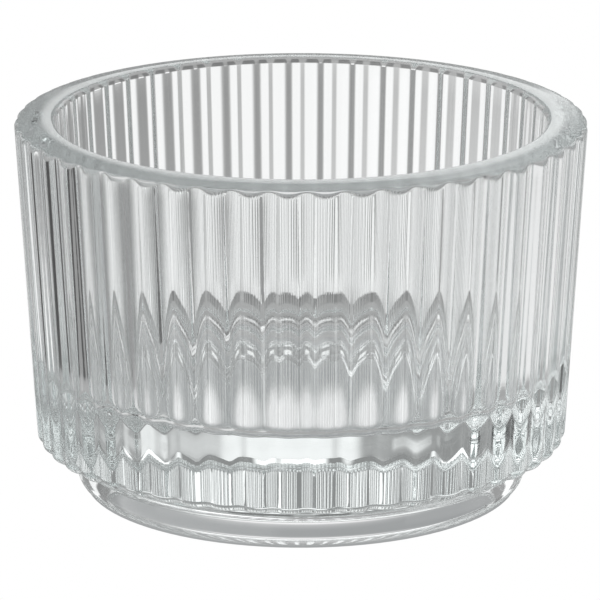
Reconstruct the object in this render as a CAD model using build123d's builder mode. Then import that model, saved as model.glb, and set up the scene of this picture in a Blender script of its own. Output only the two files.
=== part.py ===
from build123d import *
import math
import os

# A tealight holder: one thick cup of clear pressed glass on a set-back round foot.
# The outside is covered with rounded upright ribs, and the rim, the well and the foot
# are smooth. Millimetres, +Z up, origin at the centre of the surface it stands on.

# Overall
height = 50.5
rim_radius = 38.1  # over the rib crests, where the wall would meet the rim's plane
waist_radius = 35.55  # over the rib crests, at the bottom of the ribbed wall

# Foot
foot_height = 6.2
foot_radius = 30.2
foot_edge_round = 2.2
step_inner_round = 0.8  # where the foot meets the underside of the ribbed wall
step_outer_round = 2.1  # bottom edge of the ribbed wall

# Recess under the foot, which leaves a flat ring to stand on
hollow_radius = 24.5
hollow_depth = 3.2
hollow_flare = 0.7  # how much wider it is at its mouth
hollow_corner_round = 1.2
hollow_mouth_round = 0.6

# Ribs: a convex crest and a narrower rounded valley
rib_count = 50
rib_depth = 0.62
valley_share = 0.4  # the valley's share of the two radii
blank_margin = 0.15  # how far the turned body stands outside the crests before it is trimmed

# Rim and well
shoulder_width = 3.6
shoulder_drop = 0.6
shoulder_top_round = 8.0
shoulder_side_round = 1.1
rim_inner_round = 0.9
well_rim_radius = 32.6
well_floor_radius = 30.7
well_corner_round = 2.4
floor_height = 15.7

crest_slope = (rim_radius - waist_radius) / (height - foot_height)


def crest_radius(z):
    """Radius over the rib crests at height z."""
    return waist_radius + crest_slope * (z - foot_height)


def blank_radius(z):
    """Radius of the turned body's wall at height z, before the ribs trim it."""
    return crest_radius(z) + blank_margin


def on_circle(radius, angle):
    return (radius * math.cos(angle), radius * math.sin(angle))


def rib_outline(crest):
    """Closed ring of crest and valley arcs inside the circle of radius crest."""
    half_pitch = math.pi / rib_count
    flank = 2 * math.atan(rib_depth / (crest * half_pitch))
    crest_arc = (1 - valley_share) * crest * half_pitch / math.sin(flank)
    turn_angle = (1 - valley_share) * half_pitch
    turn_radius = crest - crest_arc * (1 - math.cos(flank))
    for rib in range(rib_count):
        middle = math.pi / 2 + 2 * half_pitch * rib
        ThreePointArc(
            on_circle(turn_radius, middle - turn_angle),
            on_circle(crest, middle),
            on_circle(turn_radius, middle + turn_angle),
        )
        ThreePointArc(
            on_circle(turn_radius, middle + turn_angle),
            on_circle(crest - rib_depth, middle + half_pitch),
            on_circle(turn_radius, middle + 2 * half_pitch - turn_angle),
        )


# Tapered column with the ribbed outline, which trims the turned body below
with BuildPart() as ribbed_column:
    for level in (0.0, height):
        with BuildSketch(Plane.XY.offset(level)):
            with BuildLine():
                rib_outline(crest_radius(level))
            make_face()
    loft(ruled=True)

# The glass: foot, ribbed wall, rounded rim and well, turned as one piece
with BuildPart() as glass_holder:
    with BuildSketch(Plane.XZ):
        with BuildLine():
            FilletPolyline(
                (0, hollow_depth),
                (hollow_radius, hollow_depth),
                (hollow_radius + hollow_flare, 0),
                (foot_radius, 0),
                (foot_radius, foot_height),
                (blank_radius(foot_height), foot_height),
                (blank_radius(height - shoulder_drop), height - shoulder_drop),
                (rim_radius - shoulder_width, height),
                (well_rim_radius, height),
                (well_floor_radius, floor_height),
                (0, floor_height),
                radius=[
                    hollow_corner_round,
                    hollow_mouth_round,
                    foot_edge_round,
                    step_inner_round,
                    step_outer_round,
                    shoulder_side_round,
                    shoulder_top_round,
                    rim_inner_round,
                    well_corner_round,
                ],
            )
            Line((0, floor_height), (0, hollow_depth))
        make_face()
    revolve(axis=Axis.Z)
    add(ribbed_column.part, mode=Mode.INTERSECT)

glass_holder.part.label = "glass_holder"

os.makedirs("parts", exist_ok=True)
export_step(glass_holder.part, "parts/glass_holder.step")
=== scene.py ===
import math

import bpy
import numpy as np
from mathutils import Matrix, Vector


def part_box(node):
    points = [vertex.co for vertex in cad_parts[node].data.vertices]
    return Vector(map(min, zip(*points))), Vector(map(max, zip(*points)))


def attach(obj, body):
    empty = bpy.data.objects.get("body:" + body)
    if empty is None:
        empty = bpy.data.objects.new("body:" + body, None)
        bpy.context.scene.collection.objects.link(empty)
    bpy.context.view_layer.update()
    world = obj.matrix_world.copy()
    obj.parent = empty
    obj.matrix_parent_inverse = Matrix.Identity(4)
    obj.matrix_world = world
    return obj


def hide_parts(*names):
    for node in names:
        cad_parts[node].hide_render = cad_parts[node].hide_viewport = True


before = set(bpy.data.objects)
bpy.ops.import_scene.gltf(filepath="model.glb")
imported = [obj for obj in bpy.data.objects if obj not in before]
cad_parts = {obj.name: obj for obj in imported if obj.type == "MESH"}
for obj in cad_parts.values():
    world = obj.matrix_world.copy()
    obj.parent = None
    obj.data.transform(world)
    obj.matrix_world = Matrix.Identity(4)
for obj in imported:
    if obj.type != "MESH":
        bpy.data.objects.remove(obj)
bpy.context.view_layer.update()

MM = 0.001

# The glass, in millimetres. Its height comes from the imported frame.
low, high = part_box("glass_holder")
HEIGHT = (high.z - low.z) / MM
RIM_RADIUS = 38.1
WAIST_RADIUS = 35.55
FOOT_HEIGHT = 6.2
FOOT_RADIUS = 30.2
FOOT_EDGE_ROUND = 2.2
STEP_INNER_ROUND = 0.8
STEP_OUTER_ROUND = 2.1
HOLLOW_RADIUS = 24.5
HOLLOW_DEPTH = 3.2
HOLLOW_FLARE = 0.7
HOLLOW_CORNER_ROUND = 1.2
HOLLOW_MOUTH_ROUND = 0.6
RIB_COUNT = 50
RIB_DEPTH = 0.62
VALLEY_SHARE = 0.4
BLANK_MARGIN = 0.15
SHOULDER_WIDTH = 3.6
SHOULDER_DROP = 0.6
SHOULDER_TOP_ROUND = 8.0
SHOULDER_SIDE_ROUND = 1.1
RIM_INNER_ROUND = 0.9
WELL_RIM_RADIUS = 32.6
WELL_FLOOR_RADIUS = 30.7
WELL_CORNER_ROUND = 2.4
FLOOR_HEIGHT = 15.7

# How the mesh is cut up
EDGE_BLEND = 0.3  # reach of the softening where the turned body meets the ribs
STEPS_PER_RIB = 12
ARC_STEP = math.radians(9)
ROW_STEPS = [4.0, 0.8, 1.2, 1.2, 1.5, 2.6, 0.6, 0.6, 3.0, 4.0]  # longest step on each straight

CREST_SLOPE = (RIM_RADIUS - WAIST_RADIUS) / (HEIGHT - FOOT_HEIGHT)


def crest_radius(z):
    """Radius over the rib crests at height z."""
    return WAIST_RADIUS + CREST_SLOPE * (z - FOOT_HEIGHT)


def blank_radius(z):
    """Radius of the turned body's wall at height z, before the ribs trim it."""
    return crest_radius(z) + BLANK_MARGIN


def rounded_path(points, rounds, spacings):
    """Points along a polyline with arcs for its inner corners."""
    pts = [np.array(p, float) for p in points]
    out = [pts[0]]
    for i in range(1, len(pts)):
        corner = i < len(pts) - 1
        start = out[-1]
        if corner:
            before = (pts[i - 1] - pts[i]) / np.linalg.norm(pts[i - 1] - pts[i])
            after = (pts[i + 1] - pts[i]) / np.linalg.norm(pts[i + 1] - pts[i])
            turn = math.pi - math.acos(float(np.clip(before @ after, -1, 1)))
            reach = rounds[i - 1] * math.tan(turn / 2)
            end = pts[i] + before * reach
        else:
            end = pts[i]
        count = max(1, math.ceil(np.linalg.norm(end - start) / spacings[i - 1]))
        for k in range(1, count + 1):
            out.append(start + (end - start) * k / count)
        if corner:
            inward = (before + after) / np.linalg.norm(before + after)
            centre = pts[i] + inward * rounds[i - 1] / math.cos(turn / 2)
            spoke = end - centre
            side = np.sign(spoke[0] * (pts[i] - end)[1] - spoke[1] * (pts[i] - end)[0])
            count = max(2, math.ceil(turn / ARC_STEP))
            for k in range(1, count + 1):
                a = side * turn * k / count
                c, s = math.cos(a), math.sin(a)
                turned = (spoke[0] * c - spoke[1] * s, spoke[0] * s + spoke[1] * c)
                out.append(centre + np.array(turned))
    return np.array(out)


def smooth_min(a, b):
    """The smaller of two radii, with the edge between them rounded inwards."""
    near = np.clip(EDGE_BLEND - abs(a - b), 0, None) / EDGE_BLEND
    return np.minimum(a, b) - near * near * EDGE_BLEND / 4


def rib_radius(angle, z):
    """Radius of the ribbed wall at an angle and height: convex crests and narrower rounded valleys."""
    pitch = 2 * math.pi / RIB_COUNT
    crest = crest_radius(z)
    half = crest * pitch / 2
    flank = 2 * math.atan(RIB_DEPTH / half)
    crest_arc = (1 - VALLEY_SHARE) * half / math.sin(flank)
    valley_arc = VALLEY_SHARE * half / math.sin(flank)
    turned = angle - math.pi / 2
    across = abs(turned - np.round(turned / pitch) * pitch) * crest
    on_crest = crest_arc - np.sqrt(np.clip(crest_arc**2 - across**2, 0, None))
    from_valley = half - across
    in_valley = RIB_DEPTH - valley_arc + np.sqrt(np.clip(valley_arc**2 - from_valley**2, 0, None))
    return crest - np.where(across < (1 - VALLEY_SHARE) * half, on_crest, in_valley)


def glass_outline():
    """Rows of (radius, height) from the axis under the foot, round the outside, to the well's middle."""
    return rounded_path(
        [
            (0.0, HOLLOW_DEPTH),
            (HOLLOW_RADIUS, HOLLOW_DEPTH),
            (HOLLOW_RADIUS + HOLLOW_FLARE, 0.0),
            (FOOT_RADIUS, 0.0),
            (FOOT_RADIUS, FOOT_HEIGHT),
            (blank_radius(FOOT_HEIGHT), FOOT_HEIGHT),
            (blank_radius(HEIGHT - SHOULDER_DROP), HEIGHT - SHOULDER_DROP),
            (RIM_RADIUS - SHOULDER_WIDTH, HEIGHT),
            (WELL_RIM_RADIUS, HEIGHT),
            (WELL_FLOOR_RADIUS, FLOOR_HEIGHT),
            (0.0, FLOOR_HEIGHT),
        ],
        [
            HOLLOW_CORNER_ROUND,
            HOLLOW_MOUTH_ROUND,
            FOOT_EDGE_ROUND,
            STEP_INNER_ROUND,
            STEP_OUTER_ROUND,
            SHOULDER_SIDE_ROUND,
            SHOULDER_TOP_ROUND,
            RIM_INNER_ROUND,
            WELL_CORNER_ROUND,
        ],
        ROW_STEPS,
    )


def glass_mesh():
    """The cup as one closed skin. The ribs trim the wall and run on round its lower edge."""
    outline = glass_outline()
    columns = RIB_COUNT * STEPS_PER_RIB
    angle = np.arange(columns) * 2 * math.pi / columns
    verts = []
    rows = outline[1:-1]
    lower_edge = WAIST_RADIUS - STEP_OUTER_ROUND
    for r, z in rows:
        ribs = rib_radius(angle, z)
        turned = np.full(columns, r)
        radius = smooth_min(turned, ribs)
        if r > lower_edge and z < HEIGHT / 2:
            crest = crest_radius(z)
            radius = smooth_min(turned, crest) - (crest - ribs)
        row = [radius * np.cos(angle), radius * np.sin(angle), np.full(columns, z)]
        verts.append(np.stack(row, 1))
    verts = np.concatenate(verts)
    bottom_centre = len(verts)
    top_centre = bottom_centre + 1
    verts = np.vstack([verts, [[0, 0, outline[0][1]]], [[0, 0, outline[-1][1]]]]) * MM
    faces = []
    last = (len(rows) - 1) * columns
    for i in range(len(rows) - 1):
        a = i * columns
        b = a + columns
        for j in range(columns):
            k = (j + 1) % columns
            faces.append((a + j, a + k, b + k, b + j))
    for j in range(columns):
        k = (j + 1) % columns
        faces.append((bottom_centre, k, j))
        faces.append((last + j, last + k, top_centre))
    mesh = bpy.data.meshes.new("ribbed_glass")
    mesh.from_pydata([tuple(v) for v in verts], [], faces)
    mesh.update()
    mesh.polygons.foreach_set("use_smooth", [True] * len(mesh.polygons))
    obj = bpy.data.objects.new("ribbed_glass", mesh)
    bpy.context.scene.collection.objects.link(obj)
    return obj


# Surface. Lengths in millimetres.
GLASS_IOR = 1.52
TINT_DEEP = (0.975, 0.985, 0.984, 1)
TINT_PALE = (0.992, 0.996, 0.996, 1)
DEPTH_COLOUR = (0.84, 0.92, 0.915, 1)
DEPTH_DENSITY = 6.0  # per metre
MOST_ROUGHNESS = 0.004
PATCH_SIZE = 9.0
TURNING_PITCH = 0.45
TURNING_SHARE = 0.15  # how far the plunger's rings count against the ribs' tool lines
LINE_PITCH = 0.3
LINE_STRETCH = 0.03  # how much the tool lines change on the way up
MARK_HEIGHT = 0.004
MARK_STRENGTH = 0.12
UNEVEN_SIZE = 2.5
UNEVEN_HEIGHT = 0.012
UNEVEN_STRENGTH = 0.35
WELL_FADE = 0.6  # how far past the well's mouth its rings fade out
FLOOR_FADE = 0.5  # how far under the well's floor they fade out
RIBS_FADE = (0.95, 0.97)  # shares of the waist's radius over which the tool lines fade in
PATCH_FADE = (0.4, 0.8)  # part of the noise that dulls the polish


class Nodes:
    """A short way to write shader nodes."""

    def __init__(self, tree):
        self.tree = tree

    def add(self, kind, **settings):
        node = self.tree.nodes.new(kind)
        for name, value in settings.items():
            setattr(node, name, value)
        return node

    def plug(self, value, socket):
        if hasattr(value, "is_linked"):
            self.tree.links.new(value, socket)
        else:
            socket.default_value = value

    def math(self, operation, *values):
        node = self.add("ShaderNodeMath", operation=operation)
        for value, socket in zip(values, node.inputs):
            self.plug(value, socket)
        return node.outputs[0]

    def ramp(self, value, start, end, low=0.0, high=1.0):
        node = self.add("ShaderNodeMapRange", interpolation_type="SMOOTHSTEP")
        for number, socket in zip((value, start, end, low, high), node.inputs):
            self.plug(number, socket)
        return node.outputs[0]

    def noise(self, vector, scale, detail=2.0):
        node = self.add("ShaderNodeTexNoise")
        self.plug(vector, node.inputs["Vector"])
        node.inputs["Scale"].default_value = scale
        node.inputs["Detail"].default_value = detail
        return node.outputs["Fac"]


def glass_material():
    """Fire-polished pressed glass, with what the mould leaves on it.

    The well keeps the fine rings of a turned plunger, the ribs keep fine upright tool lines,
    and the whole surface is a little uneven and a little less polished in patches.
    """
    mat = bpy.data.materials.new("clear_pressed_glass")
    mat.use_nodes = True
    n = Nodes(mat.node_tree)
    shader = mat.node_tree.nodes["Principled BSDF"]
    out = mat.node_tree.nodes["Material Output"]
    shader.inputs["IOR"].default_value = GLASS_IOR
    shader.inputs["Transmission Weight"].default_value = 1.0

    place = n.add("ShaderNodeTexCoord").outputs["Object"]
    split = n.add("ShaderNodeSeparateXYZ")
    n.plug(place, split.inputs[0])
    x, y, z = split.outputs
    radius = n.math("SQRT", n.math("ADD", n.math("MULTIPLY", x, x), n.math("MULTIPLY", y, y)))
    angle = n.math("ARCTAN2", y, x)

    patches = n.noise(place, 1 / (PATCH_SIZE * MM))
    tint = n.add("ShaderNodeMix", data_type="RGBA")
    n.plug(patches, tint.inputs["Factor"])
    tint.inputs["A"].default_value = TINT_DEEP
    tint.inputs["B"].default_value = TINT_PALE
    n.plug(tint.outputs["Result"], shader.inputs["Base Color"])
    n.plug(n.ramp(patches, *PATCH_FADE, 0.0, MOST_ROUGHNESS), shader.inputs["Roughness"])

    inside = n.math(
        "MULTIPLY",
        n.ramp(radius, (WELL_RIM_RADIUS + WELL_FADE) * MM, WELL_RIM_RADIUS * MM),
        n.ramp(z, (FLOOR_HEIGHT - FLOOR_FADE) * MM, FLOOR_HEIGHT * MM),
    )
    along = n.math("SUBTRACT", z, radius)
    turning = n.math("SINE", n.math("MULTIPLY", along, 2 * math.pi / (TURNING_PITCH * MM)))
    outside = n.ramp(radius, *(WAIST_RADIUS * share * MM for share in RIBS_FADE))
    flat = n.add("ShaderNodeCombineXYZ")
    n.plug(n.math("MULTIPLY", angle, RIM_RADIUS * MM), flat.inputs[0])
    n.plug(n.math("MULTIPLY", z, LINE_STRETCH), flat.inputs[1])
    lines = n.noise(flat.outputs[0], 1 / (LINE_PITCH * MM), 1.0)
    fine = n.math(
        "ADD",
        n.math("MULTIPLY", inside, n.math("MULTIPLY", turning, TURNING_SHARE)),
        n.math("MULTIPLY", outside, n.math("SUBTRACT", lines, 0.5)),
    )
    soft = n.add("ShaderNodeBump")
    soft.inputs["Strength"].default_value = UNEVEN_STRENGTH
    soft.inputs["Distance"].default_value = UNEVEN_HEIGHT * MM
    n.plug(n.noise(place, 1 / (UNEVEN_SIZE * MM), 3.0), soft.inputs["Height"])
    marks = n.add("ShaderNodeBump")
    marks.inputs["Strength"].default_value = MARK_STRENGTH
    marks.inputs["Distance"].default_value = MARK_HEIGHT * MM
    n.plug(fine, marks.inputs["Height"])
    n.plug(soft.outputs[0], marks.inputs["Normal"])
    n.plug(marks.outputs[0], shader.inputs["Normal"])

    depth = n.add("ShaderNodeVolumeAbsorption")
    depth.inputs["Color"].default_value = DEPTH_COLOUR
    depth.inputs["Density"].default_value = DEPTH_DENSITY
    n.plug(depth.outputs[0], out.inputs["Volume"])
    return mat


glass = glass_mesh()
glass.data.materials.append(glass_material())
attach(glass, "root")
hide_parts("glass_holder")

# Floor
FLOOR_SIZE = 6.0  # metres
FLOOR_DROP = 0.05  # millimetres under the foot
FLOOR_WHITE = (1, 1, 1, 1)
BLACK = (0, 0, 0, 1)


def flat_piece(name, outline, drop):
    """A flat face, drop millimetres under the foot, that glows evenly and takes no light."""
    mesh = bpy.data.meshes.new(name)
    mesh.from_pydata([(x, y, 0) for x, y in outline], [], [tuple(range(len(outline)))])
    obj = bpy.data.objects.new(name, mesh)
    bpy.context.scene.collection.objects.link(obj)
    mat = bpy.data.materials.new(name)
    mat.use_nodes = True
    shader = mat.node_tree.nodes["Principled BSDF"]
    shader.inputs["Base Color"].default_value = BLACK
    shader.inputs["Specular IOR Level"].default_value = 0.0
    shader.inputs["Emission Color"].default_value = FLOOR_WHITE
    shader.inputs["Emission Strength"].default_value = 1.0
    mesh.materials.append(mat)
    obj.location.z = -drop * MM
    return obj


def floor_plane():
    """A pale seamless table. The glass looks past it to the studio."""
    half = FLOOR_SIZE / 2
    corners = [(-half, -half), (half, -half), (half, half), (-half, half)]
    floor = flat_piece("floor", corners, FLOOR_DROP)
    floor.visible_transmission = False
    floor.visible_glossy = False


# Painted light and shade for the disc under the foot: a bright painted pool in the middle and a painted
# shadow towards the foot's ring. The disc glows and no lamp lights it.
PAINTED_LIGHT_BRIGHT = (0.97, 0.96, 0.965, 1)
PAINTED_SHADE_DARK = (0.36, 0.37, 0.375, 1)
SHADE_START = 6.0  # millimetres from the axis
SHADE_END = 18.0
SHADE_SIDES = 96


def painted_shade_disc():
    """The round of table under the foot, as a glowing disc with painted light and shade: a painted pool
    of light in the middle, as if lit through the base, and painted shade towards its ring.
    """
    radius = (FOOT_RADIUS - FOOT_EDGE_ROUND / 2) * MM
    turns = [2 * math.pi * i / SHADE_SIDES for i in range(SHADE_SIDES)]
    edge = [(radius * math.cos(a), radius * math.sin(a)) for a in turns]
    disc = flat_piece("painted_shade_disc", edge, FLOOR_DROP / 2)
    tree = disc.active_material.node_tree
    n = Nodes(tree)
    distance = n.add("ShaderNodeVectorMath", operation="LENGTH")
    n.plug(n.add("ShaderNodeTexCoord").outputs["Object"], distance.inputs[0])
    mix = n.add("ShaderNodeMix", data_type="RGBA")
    n.plug(n.ramp(distance.outputs["Value"], SHADE_START * MM, SHADE_END * MM), mix.inputs["Factor"])
    mix.inputs["A"].default_value = PAINTED_LIGHT_BRIGHT
    mix.inputs["B"].default_value = PAINTED_SHADE_DARK
    n.plug(mix.outputs["Result"], tree.nodes["Principled BSDF"].inputs["Emission Color"])


floor_plane()
painted_shade_disc()

# Studio. Directions are seen from the glass, in degrees: azimuth from straight away from the
# camera, positive to its right, and height above the horizon.
CAMERA_TURN = 2.4
GREY = 0.40
PLAIN_GROUND = (1, 1, 1, 1)
# Soft white cards and dark flags, each laid over the ones above it in the list:
# azimuth from and to, height from and to, width of the soft edge, brightness.
CARDS = [
    # Up: a large box on the left, one overhead, a low strip and three upright strips behind
    ((-165, -45), (5, 60), 15, 1.35),
    ((-50, -15), (40, 85), 10, 1.50),
    ((-60, -10), (-5, 10), 5, 1.00),
    ((-60, 60), (-5, 30), 10, 0.28),
    ((-35, -25), (5, 30), 4, 1.25),
    ((-5, 7), (5, 30), 4, 1.25),
    ((23, 35), (5, 30), 4, 1.25),
    # Up, on the right: flags
    ((75, 185), (-10, 20), 10, 0.25),
    ((110, 180), (40, 60), 10, 0.25),
    # Down: fill on the left, and a flag on the right
    ((-150, -100), (-20, -5), 3, 0.90),
    ((-135, -60), (-60, -22), 10, 0.75),
    ((85, 170), (-52, -23), 8, 0.20),
    # Just under the horizon, from left to right
    ((-100, -24), (-21, -8), 3, 0.30),
    ((-55, -41), (-21, -11), 2, 0.05),
    ((-25, -15), (-21, -16), 2, 1.05),
    ((-14, 10), (-40, -19), 5, 0.20),
    ((-12, 8), (-10, -5), 3, 0.25),
    ((-10, 24), (-18, -10), 5, 0.70),
    ((-8, 12), (-18, -10), 5, 1.00),
    ((-25, -13), (-15, -7), 4, 0.30),
    ((13, 25), (-15, -7), 4, 0.50),
    ((26, 34), (-17, -10), 3, 0.90),
    ((33, 125), (-22, -16), 3, 0.85),
    ((125, 182), (-18, -10), 4, 0.10),
]


def studio():
    """A grey studio with soft white cards and dark flags, and a plain pale ground for the camera."""
    world = bpy.data.worlds.new("studio")
    bpy.context.scene.world = world
    world.use_nodes = True
    n = Nodes(world.node_tree)
    split = n.add("ShaderNodeSeparateXYZ")
    n.plug(n.add("ShaderNodeTexCoord").outputs["Generated"], split.inputs[0])
    x, y, z = split.outputs
    azimuth = n.math("ADD", n.math("ARCTAN2", x, y), math.radians(CAMERA_TURN))
    height = n.math("ARCSINE", z)
    colour = (GREY, GREY, GREY, 1)
    for across, up, edge, card in CARDS:
        inside = []
        for value, (first, last) in ((azimuth, across), (height, up)):
            offset = n.math("SUBTRACT", value, math.radians((first + last) / 2))
            if value is azimuth:
                offset = n.math("WRAP", offset, math.pi, -math.pi)
            half = (last - first) / 2
            away = n.math("ABSOLUTE", offset)
            inside.append(n.ramp(away, math.radians(half + edge / 2), math.radians(half - edge / 2)))
        mix = n.add("ShaderNodeMix", data_type="RGBA")
        n.plug(n.math("MULTIPLY", *inside), mix.inputs["Factor"])
        n.plug(colour, mix.inputs["A"])
        n.plug((card, card, card, 1), mix.inputs["B"])
        colour = mix.outputs["Result"]
    lit = world.node_tree.nodes["Background"]
    n.plug(colour, lit.inputs["Color"])
    plain = n.add("ShaderNodeBackground")
    plain.inputs["Color"].default_value = PLAIN_GROUND
    switch = n.add("ShaderNodeMixShader")
    n.plug(n.add("ShaderNodeLightPath").outputs["Is Camera Ray"], switch.inputs[0])
    n.plug(lit.outputs[0], switch.inputs[1])
    n.plug(plain.outputs[0], switch.inputs[2])
    n.plug(switch.outputs[0], world.node_tree.nodes["World Output"].inputs["Surface"])


studio()

# Camera, in millimetres
PITCH = math.radians(16.3)
DISTANCE = 646.0
TARGET_HEIGHT = 24.94
SENSOR = 36.0
FOCAL = 289.2
SHIFT = -0.0016  # of the picture's width


def camera():
    """A long lens that looks a little down over the rim."""
    data = bpy.data.cameras.new("camera")
    cam = bpy.data.objects.new("camera", data)
    bpy.context.scene.collection.objects.link(cam)
    data.sensor_width = SENSOR
    data.lens = FOCAL
    data.clip_start = 0.01
    data.clip_end = 20
    data.shift_x = SHIFT
    target = Vector((0, 0, TARGET_HEIGHT)) * MM
    turn = math.radians(CAMERA_TURN)
    level = math.cos(PITCH)
    away = Vector((math.sin(turn) * level, -math.cos(turn) * level, math.sin(PITCH)))
    cam.location = target + away * DISTANCE * MM
    cam.rotation_euler = (-away).to_track_quat("-Z", "Y").to_euler()
    bpy.context.scene.camera = cam


camera()

# Enough bounces for light that crosses both walls and turns back inside the base
GLASS_BOUNCES = 32
scene = bpy.context.scene
scene.view_settings.view_transform = "Standard"
scene.cycles.max_bounces = GLASS_BOUNCES
scene.cycles.transmission_bounces = GLASS_BOUNCES
scene.cycles.glossy_bounces = GLASS_BOUNCES // 2
scene.cycles.transparent_max_bounces = GLASS_BOUNCES
